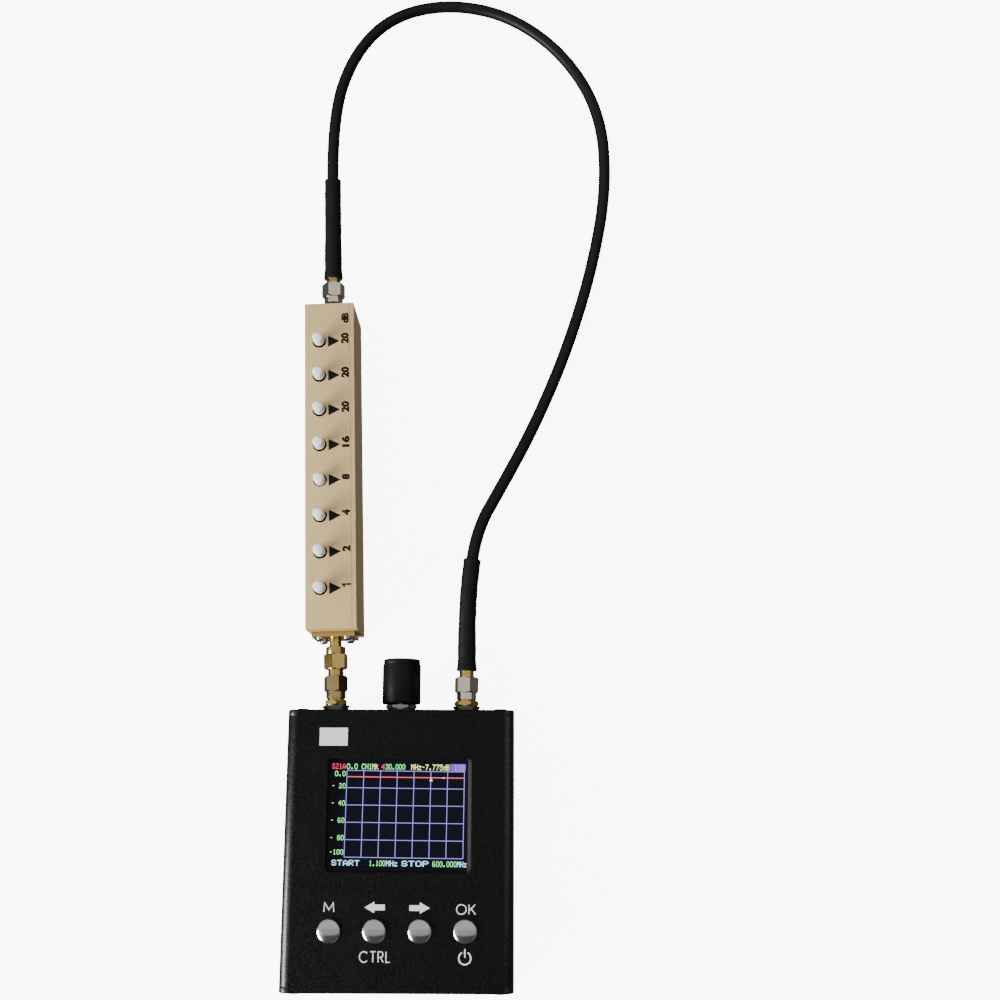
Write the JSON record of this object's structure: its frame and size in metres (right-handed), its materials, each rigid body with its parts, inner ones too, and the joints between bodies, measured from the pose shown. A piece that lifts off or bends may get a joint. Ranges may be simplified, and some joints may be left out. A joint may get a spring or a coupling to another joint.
{
  "type": "antenna analyzer",
  "caption": "Handheld radio analyzer lying on its back, with a colour screen, keys and a push encoder, and an adapter, a step attenuator and a coax jumper screwed to its ports.",
  "frame": {"origin": "centre of the case's back face, which lies on the surface", "axes": "+Z out of the screen, +Y towards the ports and the knob, +X to the screen's right"},
  "size_m": [0.1227, 0.4028, 0.035],
  "materials": {
    "case_black": "satin",
    "black_steel": "satin",
    "frame_steel": "brushed",
    "display_glass": "gloss",
    "black_plastic": "satin",
    "board_green": "satin",
    "battery_wrap": "satin",
    "key_chrome": "polished",
    "knob_black": "satin",
    "dark_nickel": "satin",
    "gold_brass": "polished",
    "white_insulator": "satin",
    "champagne": "satin",
    "screw_steel": "satin",
    "button_white": "gloss",
    "cable_black": "satin",
    "nickel": "polished"
  },
  "bodies": {
    "case": {"front_shell": "case_black", "back_shell": "case_black", "top_end_plate": "case_black", "bottom_end_plate": "case_black", "end_plate_screws": "black_steel", "display_frame": "frame_steel", "rf_shield_can": "frame_steel", "usb_socket": "frame_steel", "board_standoffs": "frame_steel", "board_screws": "frame_steel", "display_panel": "display_glass", "display_carrier": "black_plastic", "board_chips": "black_plastic", "key_switches": "black_plastic", "encoder_housing": "black_plastic", "attenuator_switches": "black_plastic", "main_board": "board_green", "attenuator_board": "board_green", "battery": "battery_wrap", "encoder_nut": "dark_nickel", "encoder_washer": "dark_nickel", "port_sockets": "gold_brass", "port_nuts": "gold_brass", "port_washers": "gold_brass", "connector_pins": "gold_brass", "adapter_body": "gold_brass", "attenuator_ports": "gold_brass", "jumper_plugs": "gold_brass", "connector_insulators": "white_insulator", "attenuator_body": "champagne", "attenuator_front_cover": "champagne", "attenuator_back_cover": "champagne", "cover_screws": "screw_steel", "flange_screws": "screw_steel", "coax_cable": "cable_black", "cable_ends": "cable_black", "shrink_boots": "cable_black"},
    "encoder_rotor": {"encoder_detent_ring": "frame_steel"},
    "encoder_knob_and_shaft": {"encoder_shaft": "frame_steel", "encoder_knob": "knob_black"},
    "key_mode": {"key_cap_mode": "key_chrome"},
    "key_left": {"key_cap_left": "key_chrome"},
    "key_right": {"key_cap_right": "key_chrome"},
    "key_ok": {"key_cap_ok": "key_chrome"},
    "button_1db": {"attenuator_button_1db": "button_white"},
    "button_2db": {"attenuator_button_2db": "button_white"},
    "button_4db": {"attenuator_button_4db": "button_white"},
    "button_8db": {"attenuator_button_8db": "button_white"},
    "button_16db": {"attenuator_button_16db": "button_white"},
    "button_20db_first": {"attenuator_button_20db_first": "button_white"},
    "button_20db_second": {"attenuator_button_20db_second": "button_white"},
    "button_20db_third": {"attenuator_button_20db_third": "button_white"},
    "adapter_nut_lower_ring": {"adapter_nut_lower": "gold_brass"},
    "adapter_nut_upper_ring": {"adapter_nut_upper": "gold_brass"},
    "jumper_nut_left_ring": {"jumper_nut_left": "nickel"},
    "jumper_nut_right_ring": {"jumper_nut_right": "nickel"}
  },
  "joints": [
    {"name": "encoder_turn", "type": "hinge", "parent": "case", "child": "encoder_rotor", "pos_m": [-0.0009, 0.06, 0.0145], "axis": [0, 1, 0], "continuous": true},
    {"name": "encoder_press", "type": "slide", "parent": "encoder_rotor", "child": "encoder_knob_and_shaft", "axis": [0, -1, 0], "range_m": [0, 0.0005], "stiffness_N_per_m": 4000, "springref_m": -0.0003},
    {"name": "key_mode_press", "type": "slide", "parent": "case", "child": "key_mode", "axis": [0, 0, -1], "range_m": [0, 0.0004], "stiffness_N_per_m": 2500, "springref_m": -0.0002},
    {"name": "key_left_press", "type": "slide", "parent": "case", "child": "key_left", "axis": [0, 0, -1], "range_m": [0, 0.0004], "stiffness_N_per_m": 2500, "springref_m": -0.0002},
    {"name": "key_right_press", "type": "slide", "parent": "case", "child": "key_right", "axis": [0, 0, -1], "range_m": [0, 0.0004], "stiffness_N_per_m": 2500, "springref_m": -0.0002},
    {"name": "key_ok_press", "type": "slide", "parent": "case", "child": "key_ok", "axis": [0, 0, -1], "range_m": [0, 0.0004], "stiffness_N_per_m": 2500, "springref_m": -0.0002},
    {"name": "button_1db_press", "type": "slide", "parent": "case", "child": "button_1db", "axis": [0, 0, -1], "range_m": [0, 0.0022], "stiffness_N_per_m": 600, "springref_m": -0.0005},
    {"name": "button_2db_press", "type": "slide", "parent": "case", "child": "button_2db", "axis": [0, 0, -1], "range_m": [0, 0.0022], "stiffness_N_per_m": 600, "springref_m": -0.0005},
    {"name": "button_4db_press", "type": "slide", "parent": "case", "child": "button_4db", "axis": [0, 0, -1], "range_m": [0, 0.0022], "stiffness_N_per_m": 600, "springref_m": -0.0005},
    {"name": "button_8db_press", "type": "slide", "parent": "case", "child": "button_8db", "axis": [0, 0, -1], "range_m": [-0.0015, 0]},
    {"name": "button_16db_press", "type": "slide", "parent": "case", "child": "button_16db", "axis": [0, 0, -1], "range_m": [0, 0.0022], "stiffness_N_per_m": 600, "springref_m": -0.0005},
    {"name": "button_20db_first_press", "type": "slide", "parent": "case", "child": "button_20db_first", "axis": [0, 0, -1], "range_m": [0, 0.0022], "stiffness_N_per_m": 600, "springref_m": -0.0005},
    {"name": "button_20db_second_press", "type": "slide", "parent": "case", "child": "button_20db_second", "axis": [0, 0, -1], "range_m": [0, 0.0022], "stiffness_N_per_m": 600, "springref_m": -0.0005},
    {"name": "button_20db_third_press", "type": "slide", "parent": "case", "child": "button_20db_third", "axis": [0, 0, -1], "range_m": [0, 0.0022], "stiffness_N_per_m": 600, "springref_m": -0.0005},
    {"name": "adapter_nut_lower_turn", "type": "hinge", "parent": "case", "child": "adapter_nut_lower_ring", "pos_m": [-0.02565, 0.05934, 0.0145], "axis": [-0.0349, 0.9994, 0], "continuous": true},
    {"name": "adapter_nut_upper_turn", "type": "hinge", "parent": "case", "child": "adapter_nut_upper_ring", "pos_m": [-0.026, 0.06934, 0.0145], "axis": [-0.0349, 0.9994, 0], "continuous": true},
    {"name": "jumper_nut_left_turn", "type": "hinge", "parent": "case", "child": "jumper_nut_left_ring", "pos_m": [-0.03109, 0.21525, 0.0145], "axis": [-0.0349, 0.9994, 0], "continuous": true},
    {"name": "jumper_nut_right_turn", "type": "hinge", "parent": "case", "child": "jumper_nut_right_ring", "pos_m": [0.0235, 0.06, 0.0145], "axis": [0, 1, 0], "continuous": true}
  ]
}
